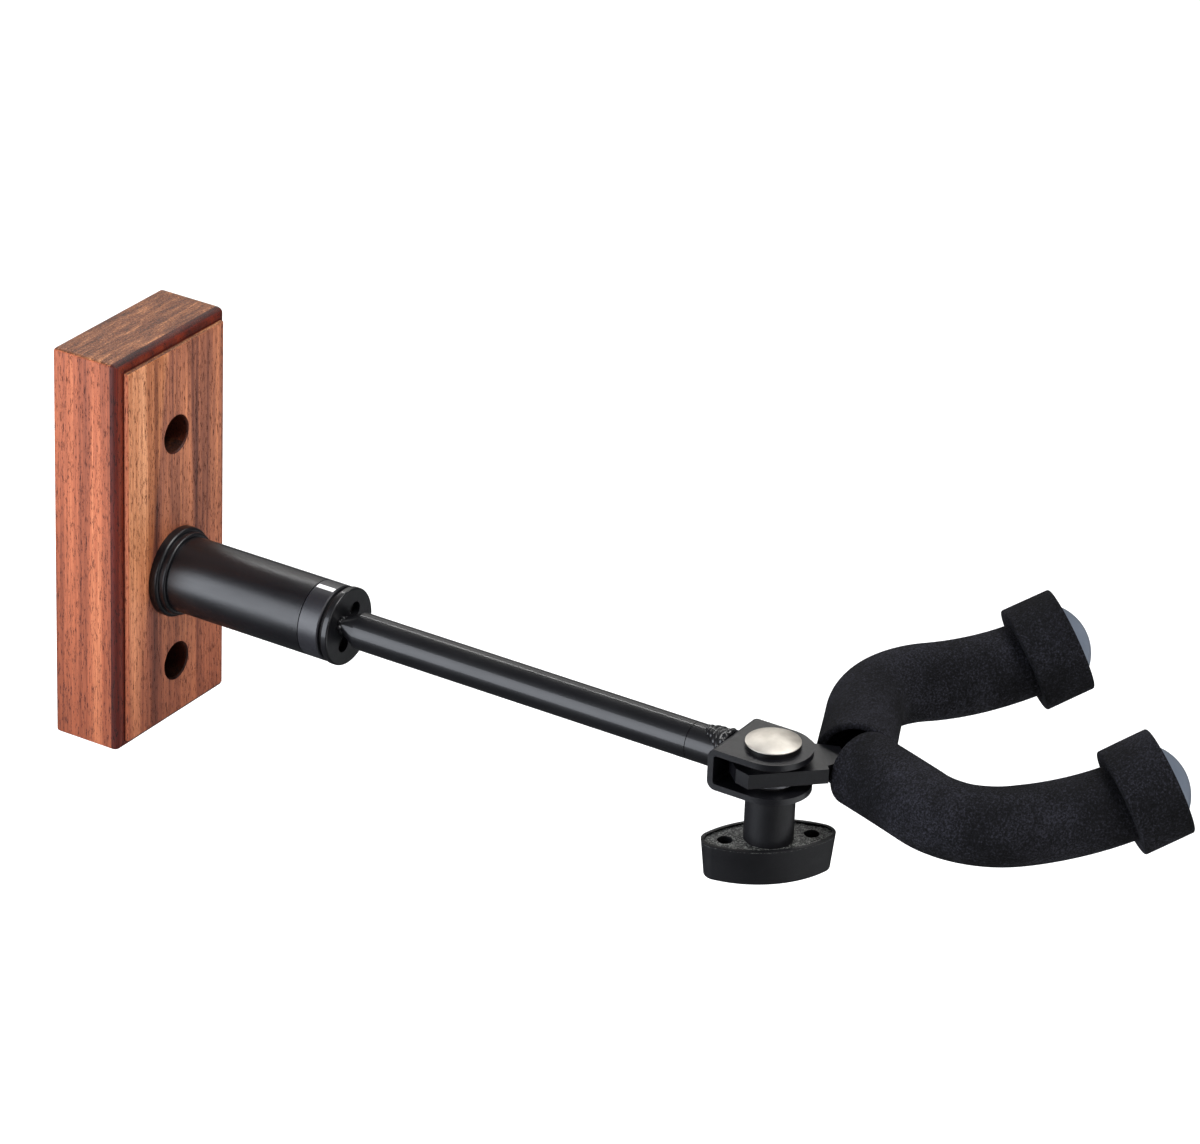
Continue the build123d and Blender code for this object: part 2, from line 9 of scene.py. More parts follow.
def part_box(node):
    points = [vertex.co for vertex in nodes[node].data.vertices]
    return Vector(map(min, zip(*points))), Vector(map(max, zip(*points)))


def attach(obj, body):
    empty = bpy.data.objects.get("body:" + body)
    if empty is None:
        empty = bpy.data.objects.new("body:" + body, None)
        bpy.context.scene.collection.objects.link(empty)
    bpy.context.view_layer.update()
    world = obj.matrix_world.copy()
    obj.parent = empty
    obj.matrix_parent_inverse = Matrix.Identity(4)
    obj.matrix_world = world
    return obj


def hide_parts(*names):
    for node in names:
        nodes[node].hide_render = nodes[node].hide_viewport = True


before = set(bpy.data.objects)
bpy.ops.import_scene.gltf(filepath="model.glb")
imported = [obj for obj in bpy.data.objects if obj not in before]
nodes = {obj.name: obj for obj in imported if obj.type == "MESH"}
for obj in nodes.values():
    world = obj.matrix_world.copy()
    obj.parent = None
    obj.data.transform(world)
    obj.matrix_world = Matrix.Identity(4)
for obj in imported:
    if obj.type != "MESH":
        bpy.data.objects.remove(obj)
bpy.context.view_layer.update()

# ---- The studio: a wide pale floor well below the hanger, a soft high sun, a large soft box on the left, a
# narrow strip behind on the right that draws the thin bright line along the tube, and dim fills to the right
# and in front. The camera stands to the left of the arm, above it, under two metres away, on a long lens.
FLOOR_DROP = 0.55
FLOOR_HALF = 40.0
CAMERA_AZIMUTH = radians(-58.4)
CAMERA_ELEVATION = radians(26.62)
CAMERA_ROLL = radians(2.13)
CAMERA_DISTANCE = 1.8746
CAMERA_TARGET = Vector((0.0371, -0.1695, 0.0265))
CAMERA_LENS = 174.33
HANGER_MIDDLE = Vector((0.03, -0.17, 0.0))

scene = bpy.context.scene
scene.view_settings.view_transform = "Standard"

world = bpy.data.worlds.new("studio_air")
world.use_nodes = True
world.node_tree.nodes["Background"].inputs["Color"].default_value = (0.93, 0.96, 1.0, 1)
world.node_tree.nodes["Background"].inputs["Strength"].default_value = 0.1
scene.world = world


def node(tree, kind, settings=None, **inputs):
    """Adds one shader node. Inputs are named with underscores for spaces, or numbered. A socket is linked,
    and a value is set."""
    made = tree.nodes.new("ShaderNode" + kind)
    for key, value in (settings or {}).items():
        setattr(made, key, value)
    for key, value in inputs.items():
        socket = made.inputs[int(key[1:])] if key[0] == "_" else made.inputs[key.replace("_", " ")]
        if isinstance(value, bpy.types.NodeSocket):
            tree.links.new(value, socket)
        else:
            socket.default_value = value
    return made


def shade(name, **constants):
    """A new material with one Principled shader. Constants go straight onto the shader's own sockets."""
    material = bpy.data.materials.new(name)
    material.use_nodes = True
    shader = material.node_tree.nodes["Principled BSDF"]
    for key, value in constants.items():
        shader.inputs[key.replace("_", " ")].default_value = value
    return material, material.node_tree, shader


def colour(red, green, blue):
    """A display colour, 0 to 255 a channel, as linear light."""
    share = np.array([red, green, blue]) / 255
    linear = np.where(share < 0.04045, share / 12.92, ((share + 0.055) / 1.055) ** 2.4)
    return (*linear.tolist(), 1.0)


def ramp(tree, factor, stops):
    """A colour ramp whose stops are (place, colour) pairs."""
    made = node(tree, "ValToRGB", Fac=factor)
    elements = made.color_ramp.elements
    while len(elements) < len(stops):
        elements.new(0.5)
    for element, (place, value) in zip(elements, stops):
        element.position = place
        element.color = value
    return made.outputs["Color"]


def blend(tree, factor, first, second, how="MIX"):
    """Mixes two colours."""
    made = node(tree, "Mix", {"data_type": "RGBA", "blend_type": how})
    for socket, value in ((made.inputs[0], factor), (made.inputs[6], first), (made.inputs[7], second)):
        if isinstance(value, bpy.types.NodeSocket):
            tree.links.new(value, socket)
        else:
            socket.default_value = value
    return made.outputs[2]


def filtered(tree, first, second):
    """One colour seen through another."""
    return blend(tree, 1.0, first, second, "MULTIPLY")


def reckon(tree, how, first, second=0.0, third=0.0, clamp=False):
    """One Math node's result."""
    settings = {"operation": how, "use_clamp": clamp}
    return node(tree, "Math", settings, _0=first, _1=second, _2=third).outputs[0]


def place(tree, scale):
    """Object coordinates in millimetres, times a scale for each axis."""
    coordinates = node(tree, "TexCoord").outputs["Object"]
    return node(tree, "Mapping", Vector=coordinates, Scale=tuple(1000 * s for s in scale)).outputs["Vector"]


def noise(tree, scale, detail=3.0, roughness=0.5, distortion=0.0):
    """Noise over object coordinates; scale is its frequency per millimetre along each axis."""
    made = node(
        tree,
        "TexNoise",
        Vector=place(tree, scale),
        Scale=1.0,
        Detail=detail,
        Roughness=roughness,
        Distortion=distortion,
    )
    return made.outputs["Fac"]


floor_mesh = bpy.data.meshes.new("studio_floor")
corner_signs = ((-1, -1), (1, -1), (1, 1), (-1, 1))
floor_corners = [(x * FLOOR_HALF, y * FLOOR_HALF, -FLOOR_DROP) for x, y in corner_signs]
floor_mesh.from_pydata(floor_corners, [], [(0, 1, 2, 3)])
floor = bpy.data.objects.new("studio_floor", floor_mesh)
scene.collection.objects.link(floor)
floor_paint, tree, shader = shade("floor_paint", Roughness=0.9)
tree.links.new(
    ramp(tree, noise(tree, (0.002, 0.002, 0.002)), [(0, colour(247, 247, 247)), (1, colour(253, 253, 253))]),
    shader.inputs["Base Color"],
)
floor_mesh.materials.append(floor_paint)
floor.visible_glossy = False


def soft_box(name, direction, distance, long_side, size, power, tint=(1, 1, 1)):
    """A rectangular area light facing the hanger's middle, seen from there in a direction. The second of the
    two sizes lies along the vector long_side."""
    towards = Vector(direction).normalized()
    long_axis = (Vector(long_side) - towards * Vector(long_side).dot(towards)).normalized()
    lamp = bpy.data.lights.new(name, "AREA")
    lamp.shape = "RECTANGLE"
    lamp.size, lamp.size_y = size
    lamp.energy = power
    lamp.color = tint
    holder = bpy.data.objects.new(name, lamp)
    facing = Matrix((long_axis.cross(towards), long_axis, towards)).transposed().to_4x4()
    holder.matrix_world = Matrix.Translation(HANGER_MIDDLE + towards * distance) @ facing
    scene.collection.objects.link(holder)


sun = bpy.data.lights.new("high_sun", "SUN")
sun.energy = 3.5
sun.angle = radians(30)
sun_holder = bpy.data.objects.new("high_sun", sun)
sun_holder.rotation_euler = Vector((0.1, -0.42, 0.9)).to_track_quat("Z", "Y").to_euler()
scene.collection.objects.link(sun_holder)
soft_box("left_box", (-0.86, 0.47, 0.12), 1.6, (0, 0, 1), (1.3, 1.4), 44, (0.88, 0.92, 1.0))
soft_box("strip", (0.574, 0.469, 0.672), 1.5, (0, 1, 0), (0.06, 2.2), 11)
soft_box("right_fill", (0.76, 0.5, 0.42), 2.2, (0, 1, 0), (1.1, 1.4), 4.5, (1.0, 0.97, 0.93))
soft_box("front_fill", (-0.3, -0.9, 0.35), 1.9, (1, 0, 0), (0.8, 1.0), 9)
soft_box("low_front", (0.2, -0.87, -0.42), 1.15, (1, 0, 0), (0.45, 1.7), 5, (0.95, 0.97, 1.0))

back = Vector(
    (
        sin(CAMERA_AZIMUTH) * cos(CAMERA_ELEVATION),
        -cos(CAMERA_AZIMUTH) * cos(CAMERA_ELEVATION),
        sin(CAMERA_ELEVATION),
    )
)
level_right = Vector((cos(CAMERA_AZIMUTH), sin(CAMERA_AZIMUTH), 0))
level_up = back.cross(level_right)
right = level_right * cos(CAMERA_ROLL) + level_up * sin(CAMERA_ROLL)
up = level_up * cos(CAMERA_ROLL) - level_right * sin(CAMERA_ROLL)
lens = bpy.data.cameras.new("long_lens")
lens.lens = CAMERA_LENS
lens.sensor_width = 36.0
lens.clip_end = 100.0
camera = bpy.data.objects.new("camera", lens)
facing = Matrix((right, up, back)).transposed().to_4x4()
camera.matrix_world = Matrix.Translation(CAMERA_TARGET + back * CAMERA_DISTANCE) @ facing
scene.collection.objects.link(camera)
scene.camera = camera

# ---- Wooden wall block: one piece of oiled walnut, its front edge run round with an ovolo and a small bead,
# drilled and counterbored for two wall screws, and recessed behind for the bolt that holds the barrel.
MM = 0.001
SIDE_REACH = 22.8
STEP_REACH = 25.9
OVOLO_INSET = 2.6
PANEL_INSET = 3.3
CORNER_RADIUS = 1.3
SCREW_PITCH = 83.5
SCREWS_BELOW_MIDDLE = 5.85
SCREW_SEAT = (6.35, 11.0)
SCREW_HOLE = 3.0
BACK_RECESS = (13.0, 9.0)
BOLT_HOLE = 4.0


def skin(name, grid, loop=False, sharp=40):
    """A mesh over a grid of points in millimetres. Each row is a closed ring, joined to the next by quads.
    With loop, the last row joins the first; otherwise the end rows are closed with one face each."""
    rows, ring = grid.shape[:2]
    row = np.arange(rows if loop else rows - 1)[:, None]
    step = np.arange(ring)[None, :]
    after = (row + 1) % rows
    turn = (step + 1) % ring
    quads = np.stack([row * ring + step, row * ring + turn, after * ring + turn, after * ring + step], -1)
    faces = quads.reshape(-1, 4).tolist()
    if not loop:
        faces += [list(range(ring)), list(range((rows - 1) * ring, rows * ring))]
    mesh = bpy.data.meshes.new(name)
    mesh.from_pydata((grid.reshape(-1, 3) * MM).tolist(), [], faces)
    outward(mesh, sharp)
    piece = bpy.data.objects.new(name, mesh)
    scene.collection.objects.link(piece)
    return piece


def outward(mesh, sharp):
    """Merges doubled points, turns every face outwards and shades the mesh smooth between its sharp edges."""
    work = bmesh.new()
    work.from_mesh(mesh)
    bmesh.ops.remove_doubles(work, verts=work.verts, dist=1e-7)
    bmesh.ops.recalc_face_normals(work, faces=work.faces)
    work.to_mesh(mesh)
    work.free()
    mesh.shade_smooth()
    mesh.set_sharp_from_angle(angle=radians(sharp))


def turned(name, profile, start, direction, across, parts=64, sharp=40):
    """A surface of revolution: profile points are (radius, distance along direction from start), and each is
    carried round the axis, so a point is start + direction * distance + radius * (across cos + third sin)."""
    direction = np.asarray(direction, float)
    across = np.asarray(across, float)
    third = np.cross(direction, across)
    radius, distance = np.array(profile, float).T
    angle = np.linspace(0, 2 * pi, parts, endpoint=False)
    spokes = np.cos(angle)[:, None] * across + np.sin(angle)[:, None] * third
    grid = np.asarray(start, float) + distance[:, None, None] * direction + radius[:, None, None] * spokes
    return skin(name, grid, sharp=sharp)


def cut(piece, cutter):
    """Takes the cutter's solid out of the piece, and removes the cutter."""
    modifier = piece.modifiers.new("cut", "BOOLEAN")
    modifier.operation = "DIFFERENCE"
    modifier.solver = "EXACT"
    modifier.object = cutter
    graph = bpy.context.evaluated_depsgraph_get()
    result = bpy.data.meshes.new_from_object(piece.evaluated_get(graph), depsgraph=graph)
    piece.modifiers.clear()
    piece.data = result
    bpy.data.objects.remove(cutter)
    outward(result, 35)


wood_low, wood_high = (np.array(corner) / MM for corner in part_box("wood_block"))
wood_half = (wood_high - wood_low)[[0, 2]] / 2
wood_middle = (wood_high + wood_low)[[0, 2]] / 2
wood_thick = -wood_low[1]
quarter = np.linspace(0, pi / 2, 9)
ovolo = np.stack(
    [OVOLO_INSET * (1 - np.cos(quarter)), SIDE_REACH + (STEP_REACH - SIDE_REACH) * np.sin(quarter)], -1
)
edge_profile = np.vstack(
    [
        [(0.9, 0.0), (0.35, 0.12), (0.1, 0.4), (0.0, 0.9)],
        [(0.0, reach) for reach in np.linspace(3, SIDE_REACH - 0.6, 8)],
        ovolo,
        [(PANEL_INSET - 0.4, STEP_REACH - 0.05), (PANEL_INSET - 0.2, STEP_REACH - 0.3)],
        [(PANEL_INSET - 0.02, STEP_REACH - 0.1), (PANEL_INSET, STEP_REACH + 0.3)],
        [(PANEL_INSET, wood_thick - 0.7), (PANEL_INSET + 0.12, wood_thick - 0.28)],
        [(PANEL_INSET + 0.4, wood_thick - 0.07), (PANEL_INSET + 0.9, wood_thick)],
    ]
)
corner_turn = np.linspace(0, pi / 2, 7)
turn_angle = np.concatenate([corner_turn + side * pi / 2 for side in range(4)])
corner_sign = np.repeat(np.array([(1, 1), (-1, 1), (-1, -1), (1, -1)]), len(corner_turn), axis=0)
inset = edge_profile[:, 0][:, None]
corner_size = np.maximum(CORNER_RADIUS - inset, 0.12)
across = corner_sign[:, 0] * (wood_half[0] - inset - corner_size) + corner_size * np.cos(turn_angle)
height = corner_sign[:, 1] * (wood_half[1] - inset - corner_size) + corner_size * np.sin(turn_angle)
reach = np.broadcast_to(edge_profile[:, 1][:, None], across.shape)
block = skin("walnut_block", np.stack([across + wood_middle[0], -reach, height + wood_middle[1]], -1))

screw_centre = wood_middle[1] - SCREWS_BELOW_MIDDLE
seat_radius, seat_depth = SCREW_SEAT
for height in (screw_centre + SCREW_PITCH / 2, screw_centre - SCREW_PITCH / 2):
    bore = [(SCREW_HOLE, -2), (SCREW_HOLE, wood_thick - seat_depth), (seat_radius, wood_thick - seat_depth)]
    lip = [(seat_radius, wood_thick - 0.5), (seat_radius + 0.45, wood_thick)]
    lip += [(seat_radius + 0.9, wood_thick + 1)]
    cut(block, turned("screw_hole", bore + lip, (0, 0, height), (0, -1, 0), (1, 0, 0), 48))
recess_radius, recess_depth = BACK_RECESS
recess = [(recess_radius, -1), (recess_radius, recess_depth)]
recess += [(BOLT_HOLE, recess_depth), (BOLT_HOLE, wood_thick + 1)]
cut(block, turned("bolt_recess", recess, (0, 0, 0), (0, -1, 0), (1, 0, 0), 64))

faces = block.data.polygons
face_normal = np.empty(len(faces) * 3)
face_centre = np.empty(len(faces) * 3)
faces.foreach_get("normal", face_normal)
faces.foreach_get("center", face_centre)
face_normal = face_normal.reshape(-1, 3)
face_centre = face_centre.reshape(-1, 3) / MM
face_reach = -face_centre[:, 1]
from_edge = wood_half - np.abs(face_centre[:, [0, 2]] - wood_middle)
edge_gap = from_edge.min(1)
in_routing = (face_reach > SIDE_REACH) & (face_reach < STEP_REACH + 0.35) & (edge_gap < PANEL_INSET + 0.2)
# Faces inside the screw holes and the bolt recess, whose colour gets painted shade below.
in_hole = (edge_gap > PANEL_INSET + 1.5) & (face_reach < wood_thick - 0.2) & (face_reach > 0.1)
for label, mask in (
    ("end_grain", np.abs(face_normal[:, 2]) > 0.75),
    ("routed", in_routing),
    ("bore_shade", in_hole),
    ("front", -face_normal[:, 1] > 0.8),
):
    block.data.attributes.new(label, "FLOAT", "FACE").data.foreach_set("value", mask.astype(np.float32))

walnut, tree, shader = shade("walnut", Specular_IOR_Level=0.25)
bands = noise(tree, (0.11, 0.15, 0.0035), 2.0, 0.5, 0.4)
stripes = noise(tree, (0.75, 0.8, 0.011), 5.0, 0.62, 0.3)
fibres = noise(tree, (3.2, 3.2, 0.05), 3.0, 0.7)
pores = noise(tree, (1.9, 1.9, 0.3), 3.0, 0.85)
tone = reckon(tree, "ADD", reckon(tree, "MULTIPLY", bands, 0.6), reckon(tree, "MULTIPLY", stripes, 0.4))
front_wood = ramp(
    tree,
    tone,
    [
        (0.33, colour(54, 28, 24)),
        (0.43, colour(104, 60, 48)),
        (0.53, colour(152, 92, 66)),
        (0.65, colour(196, 124, 84)),
    ],
)
side_wood = ramp(
    tree,
    tone,
    [
        (0.32, colour(84, 36, 20)),
        (0.44, colour(136, 68, 40)),
        (0.56, colour(166, 90, 56)),
        (0.70, colour(204, 128, 86)),
    ],
)
sap_wood = ramp(
    tree, tone, [(0.34, colour(120, 64, 38)), (0.48, colour(172, 106, 66)), (0.62, colour(216, 154, 112))]
)
apart = node(tree, "SeparateXYZ", Vector=place(tree, (1, 1, 1)))
wander = reckon(tree, "MULTIPLY_ADD", noise(tree, (0.05, 0.05, 0.012)), 9.0, -4.5)
narrowing = reckon(tree, "MULTIPLY_ADD", apart.outputs["Z"], -0.12, 10.0)
sap_edge = reckon(tree, "ADD", reckon(tree, "ADD", apart.outputs["X"], wander), narrowing)
sap_share = node(
    tree,
    "MapRange",
    {"interpolation_type": "SMOOTHSTEP"},
    Value=sap_edge,
    From_Min=-4.0,
    From_Max=-6.0,
    To_Min=0.0,
    To_Max=0.9,
).outputs["Result"]
front_share = node(tree, "Attribute", {"attribute_name": "front"}).outputs["Fac"]
foot_share = node(
    tree, "MapRange", Value=apart.outputs["Z"], From_Min=30.0, From_Max=-50.0, To_Min=0.0, To_Max=1.0
).outputs["Result"]
foot_wood = filtered(tree, side_wood, colour(208, 196, 186))
side_wood = blend(tree, foot_share, side_wood, foot_wood)
sap_left = reckon(tree, "MULTIPLY", sap_share, reckon(tree, "MULTIPLY_ADD", foot_share, -0.7, 1.0))
front_wood = blend(tree, sap_left, front_wood, sap_wood)
front_wood = blend(tree, reckon(tree, "MULTIPLY", foot_share, 0.75), front_wood, side_wood)
long_wood = blend(tree, front_share, side_wood, front_wood)
turned_place = node(
    tree,
    "Mapping",
    Vector=node(tree, "TexCoord").outputs["Object"],
    Rotation=(0, 0, radians(22)),
    Scale=(60, 420, 400),
).outputs["Vector"]
rings = node(
    tree, "TexNoise", Vector=turned_place, Scale=1.0, Detail=4.0, Roughness=0.65, Distortion=0.6
).outputs["Fac"]
speck = noise(tree, (1.5, 1.5, 1.5), 3.0, 0.85)
end_tone = reckon(tree, "ADD", reckon(tree, "MULTIPLY", rings, 0.45), reckon(tree, "MULTIPLY", speck, 0.55))
end_wood = ramp(
    tree,
    end_tone,
    [
        (0.36, colour(34, 18, 12)),
        (0.46, colour(88, 50, 32)),
        (0.55, colour(132, 82, 52)),
        (0.66, colour(200, 142, 96)),
    ],
)
end_share = node(tree, "Attribute", {"attribute_name": "end_grain"}).outputs["Fac"]
wood_colour = blend(tree, end_share, long_wood, end_wood)
pore_mask = node(
    tree, "MapRange", Value=pores, From_Min=0.54, From_Max=0.61, To_Min=0.0, To_Max=0.85
).outputs["Result"]
long_pores = reckon(tree, "MULTIPLY", pore_mask, reckon(tree, "SUBTRACT", 1.0, end_share))
wood_colour = blend(tree, long_pores, wood_colour, filtered(tree, wood_colour, colour(112, 74, 62)))
fibre_tint = ramp(tree, fibres, [(0.3, (0.66, 0.64, 0.62, 1)), (0.7, (1.2, 1.18, 1.16, 1))])
wood_colour = blend(tree, 0.8, wood_colour, fibre_tint, "MULTIPLY")
routed_share = node(tree, "Attribute", {"attribute_name": "routed"}).outputs["Fac"]
wood_colour = blend(tree, routed_share, wood_colour, filtered(tree, wood_colour, colour(140, 76, 44)))
# Painted shade: the walls inside the screw holes and the bolt recess are tinted darker brown, shade painted
# into their colour.
bore_shade_share = node(tree, "Attribute", {"attribute_name": "bore_shade"}).outputs["Fac"]
wood_colour = blend(tree, bore_shade_share, wood_colour, filtered(tree, wood_colour, colour(100, 78, 66)))
tree.links.new(wood_colour, shader.inputs["Base Color"])
wood_rough = reckon(tree, "MULTIPLY_ADD", stripes, 0.25, 0.38)
tree.links.new(reckon(tree, "MULTIPLY_ADD", pore_mask, 0.2, wood_rough), shader.inputs["Roughness"])
relief = reckon(tree, "SUBTRACT", reckon(tree, "MULTIPLY", fibres, 0.35), pore_mask)
bump = node(tree, "Bump", Strength=0.35, Distance=0.00012, Height=relief)
tree.links.new(bump.outputs["Normal"], shader.inputs["Normal"])
block.data.materials.clear()
block.data.materials.append(walnut)
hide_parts("wood_block")
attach(block, "wall_base")

# ---- Barrel, flange, disc, arm tube, ferrule, clevis and fork bar: steel under a satin black powder coat,
# faintly pebbled and a little polished where it is handled. They keep their own CAD shapes.


def skin_group(name, coarse, fine):
    """A shader group for a sprayed or plated skin: soft clouds of tone, a pebbled height and a change of
    roughness."""
    group = bpy.data.node_groups.new(name, "ShaderNodeTree")
    for label in ("Pebble", "Cloud"):
        group.interface.new_socket(label, in_out="INPUT", socket_type="NodeSocketFloat").default_value = 1.0
    for label in ("Tone", "Roughness Change", "Height"):
        group.interface.new_socket(label, in_out="OUTPUT", socket_type="NodeSocketFloat")
    given = group.nodes.new("NodeGroupInput")
    result = group.nodes.new("NodeGroupOutput")
    clouds = noise(group, (coarse, coarse, coarse), 3.0)
    pebbles = noise(group, (fine, fine, fine), 2.0, 0.6)
    scuffs = noise(group, (coarse * 4, coarse * 0.6, coarse * 4), 4.0, 0.7)
    tone = reckon(group, "MULTIPLY", reckon(group, "SUBTRACT", clouds, 0.5), given.outputs["Cloud"])
    wear = reckon(group, "MULTIPLY", reckon(group, "SUBTRACT", scuffs, 0.5), given.outputs["Cloud"])
    group.links.new(reckon(group, "ADD", tone, 0.5, clamp=True), result.inputs["Tone"])
    group.links.new(wear, result.inputs["Roughness Change"])
    group.links.new(reckon(group, "MULTIPLY", pebbles, given.outputs["Pebble"]), result.inputs["Height"])
    return group


sprayed_skin = skin_group("sprayed_skin", 0.06, 1.6)


def coated(name, dark, light, rough, pebble=1.0, cloud=1.0, depth=0.00004, group=sprayed_skin, **constants):
    """A finish whose colour, roughness and relief come from a skin group."""
    material, tree, shader = shade(name, **constants)
    skin_node = tree.nodes.new("ShaderNodeGroup")
    skin_node.node_tree = group
    skin_node.inputs["Pebble"].default_value = pebble
    skin_node.inputs["Cloud"].default_value = cloud
    tone = ramp(tree, skin_node.outputs["Tone"], [(0.25, dark), (0.75, light)])
    tree.links.new(tone, shader.inputs["Base Color"])
    change = reckon(tree, "MULTIPLY_ADD", skin_node.outputs["Roughness Change"], 0.25, rough, clamp=True)
    tree.links.new(change, shader.inputs["Roughness"])
    bump = node(tree, "Bump", Strength=0.6, Distance=depth, Height=skin_node.outputs["Height"])
    tree.links.new(bump.outputs["Normal"], shader.inputs["Normal"])
    return material


def finish_node(name, material):
    """Gives a CAD node its finish."""
    nodes[name].data.materials.clear()
    nodes[name].data.materials.append(material)


black_coat = coated("black_powder_coat", colour(4, 4, 7), colour(9, 9, 13), 0.38, Specular_IOR_Level=0.4)
tube_coat = coated(
    "smooth_black_coat",
    colour(6, 6, 8),
    colour(11, 11, 14),
    0.42,
    Specular_IOR_Level=0.26,
    Coat_Weight=0.26,
    Coat_Roughness=0.05,
)
for name in ("base_flange", "barrel_tube", "clevis", "fork_plate", "fork_rod"):
    finish_node(name, black_coat)
for name in ("arm_disc", "arm_tube", "arm_ferrule"):
    finish_node(name, tube_coat)

# ---- Index collar and its mark: a black collar pinned in the barrel's mouth, a shade lighter than the barrel, with a short line let into its top that is coloured white as a painted highlight, the glint on the collar's top.
collar_coat = coated("collar_black", colour(20, 20, 24), colour(29, 29, 34), 0.4)
finish_node("index_collar", collar_coat)
# Painted highlight: the mark part is coloured near white where a glint falls on the collar's top.
collar_glint_paint = coated("mark_white", colour(226, 226, 226), colour(246, 246, 244), 0.45, depth=0.00001)
finish_node("index_mark", collar_glint_paint)

# ---- Inside the barrel and behind the block: a turned spindle in a bronze bush, plain and spring washers, a
# lock nut, the plug and the zinc-plated bolt. Few of them show, but each has its own finish.
plated_skin = skin_group("plated_skin", 0.12, 0.9)
plating = {"group": plated_skin, "Metallic": 1.0}
turned_steel = coated("turned_steel", colour(140, 141, 145), colour(176, 177, 180), 0.34, 0.6, 1.2, **plating)
for name in ("barrel_plug", "spindle", "flat_washers", "spring_washers", "wear_washer"):
    finish_node(name, turned_steel)
zinc_plate = coated("zinc_plate", colour(158, 162, 170), colour(196, 199, 204), 0.3, 0.5, 1.4, **plating)
for name in ("mounting_bolt", "back_washer", "lock_nut"):
    finish_node(name, zinc_plate)
bronze = coated("bearing_bronze", colour(132, 92, 52), colour(172, 126, 76), 0.42, 0.8, 1.2, **plating)
finish_node("spindle_bush", bronze)
brass = coated("knob_brass", colour(176, 140, 72), colour(212, 178, 104), 0.3, 0.6, 1.2, **plating)
finish_node("knob_insert", brass)
nylon = coated("black_nylon", colour(12, 11, 11), colour(22, 20, 20), 0.5, 0.5, 1.0, Specular_IOR_Level=0.25)
for name in ("thrust_washer", "friction_washers"):
    finish_node(name, nylon)
blackened = coated(
    "blackened_steel", colour(6, 6, 6), colour(13, 12, 12), 0.4, 0.7, 1.0, Specular_IOR_Level=0.3
)
for name in ("head_washer", "knob_washer"):
    finish_node(name, blackened)

# ---- Welds: lumpy fillets where the tube meets the end disc and the clevis, laid in short overlapping pools
# and coated with the steel they join. A pool has its first and last angle, distance from clevis, and radius.
TUBE_RADIUS = 6.3
PINCH = (7.2, 3.2)
PINCH_ANGLE = radians(148)
RING_POOLS = 17
WELD_POOLS = (
    (0.95, 2.75, 1.5, 1.6),
    (1.0, 2.5, 3.2, 1.6),
    (0.9, 2.2, 5.0, 1.4),
    (1.1, 2.1, 6.7, 1.1),
    (1.2, 1.9, 8.2, 0.8),
)
FILLET_HALF_SWEEP = 1.05
disc_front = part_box("arm_disc")[0][1] / MM
clevis_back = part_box("clevis")[1][1] / MM


def bead(name, path, size, closed=True, parts=20):
    """A weld bead: circles carried along a path of points, each with its own radius and facing along the
    path, so a point is path + size * (lift cos + side sin)."""
    ahead = np.roll(path, -1, 0) - np.roll(path, 1, 0) if closed else np.gradient(path, axis=0)
    ahead /= np.linalg.norm(ahead, axis=1)[:, None]
    lift = np.array((0.0, 1.0, 0.0)) - ahead * ahead[:, 1:2]
    lift /= np.linalg.norm(lift, axis=1)[:, None]
    side = np.cross(ahead, lift)
    angle = np.linspace(0, 2 * pi, parts, endpoint=False)[None, :, None]
    spokes = np.cos(angle) * lift[:, None] + np.sin(angle) * side[:, None]
    grid = path[:, None] + size[:, None, None] * spokes
    piece = skin(name, grid, loop=closed, sharp=60)
    piece.data.materials.append(tube_coat)
    return piece


angle = np.linspace(0, 2 * pi, 240, endpoint=False)
pools = 0.5 + 0.5 * np.cos(angle * RING_POOLS + 0.6 * np.sin(angle * 3))
ring_radius = TUBE_RADIUS + 0.1
ring_path = np.stack(
    [ring_radius * np.cos(angle), clevis_back + 0.35 + 0 * angle, ring_radius * np.sin(angle)], -1
)
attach(bead("clevis_weld", ring_path, 0.95 + 0.4 * pools), "arm")
for count, (start, stop, offset, size) in enumerate(WELD_POOLS):
    spread = np.linspace(start, stop, 60)
    share = np.linspace(-1, 1, 60)
    pool_path = np.stack(
        [
            (TUBE_RADIUS - 0.35) * np.cos(spread),
            clevis_back + offset + 0.5 * np.sin(4 * spread + count),
            (TUBE_RADIUS - 0.35) * np.sin(spread),
        ],
        -1,
    )
    pool_size = size * np.sqrt(np.clip(1 - share**4, 0.02, 1)) * (1 + 0.08 * np.sin(5 * spread + 2 * count))
    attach(bead(f"weld_pool_{count + 1}", pool_path, pool_size, closed=False), "arm")

for count, turn in enumerate((0, pi)):
    sweep = np.linspace(-FILLET_HALF_SWEEP, FILLET_HALF_SWEEP, 90) + turn
    flat_x, flat_y = (PINCH[0] - 0.1) * np.cos(sweep), (PINCH[1] - 0.1) * np.sin(sweep)
    across = flat_x * cos(PINCH_ANGLE) - flat_y * sin(PINCH_ANGLE)
    height = flat_x * sin(PINCH_ANGLE) + flat_y * cos(PINCH_ANGLE)
    end_taper = np.sqrt(np.clip(1 - np.linspace(-1, 1, 90) ** 6, 0.02, 1))
    swell = end_taper * (0.85 + 0.3 * np.cos(np.linspace(0, 9 * pi, 90)))
    fillet_path = np.stack([across, disc_front - 0.25 + 0 * sweep, height], -1)
    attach(bead(f"disc_weld_{count + 1}", fillet_path, swell, closed=False), "arm")

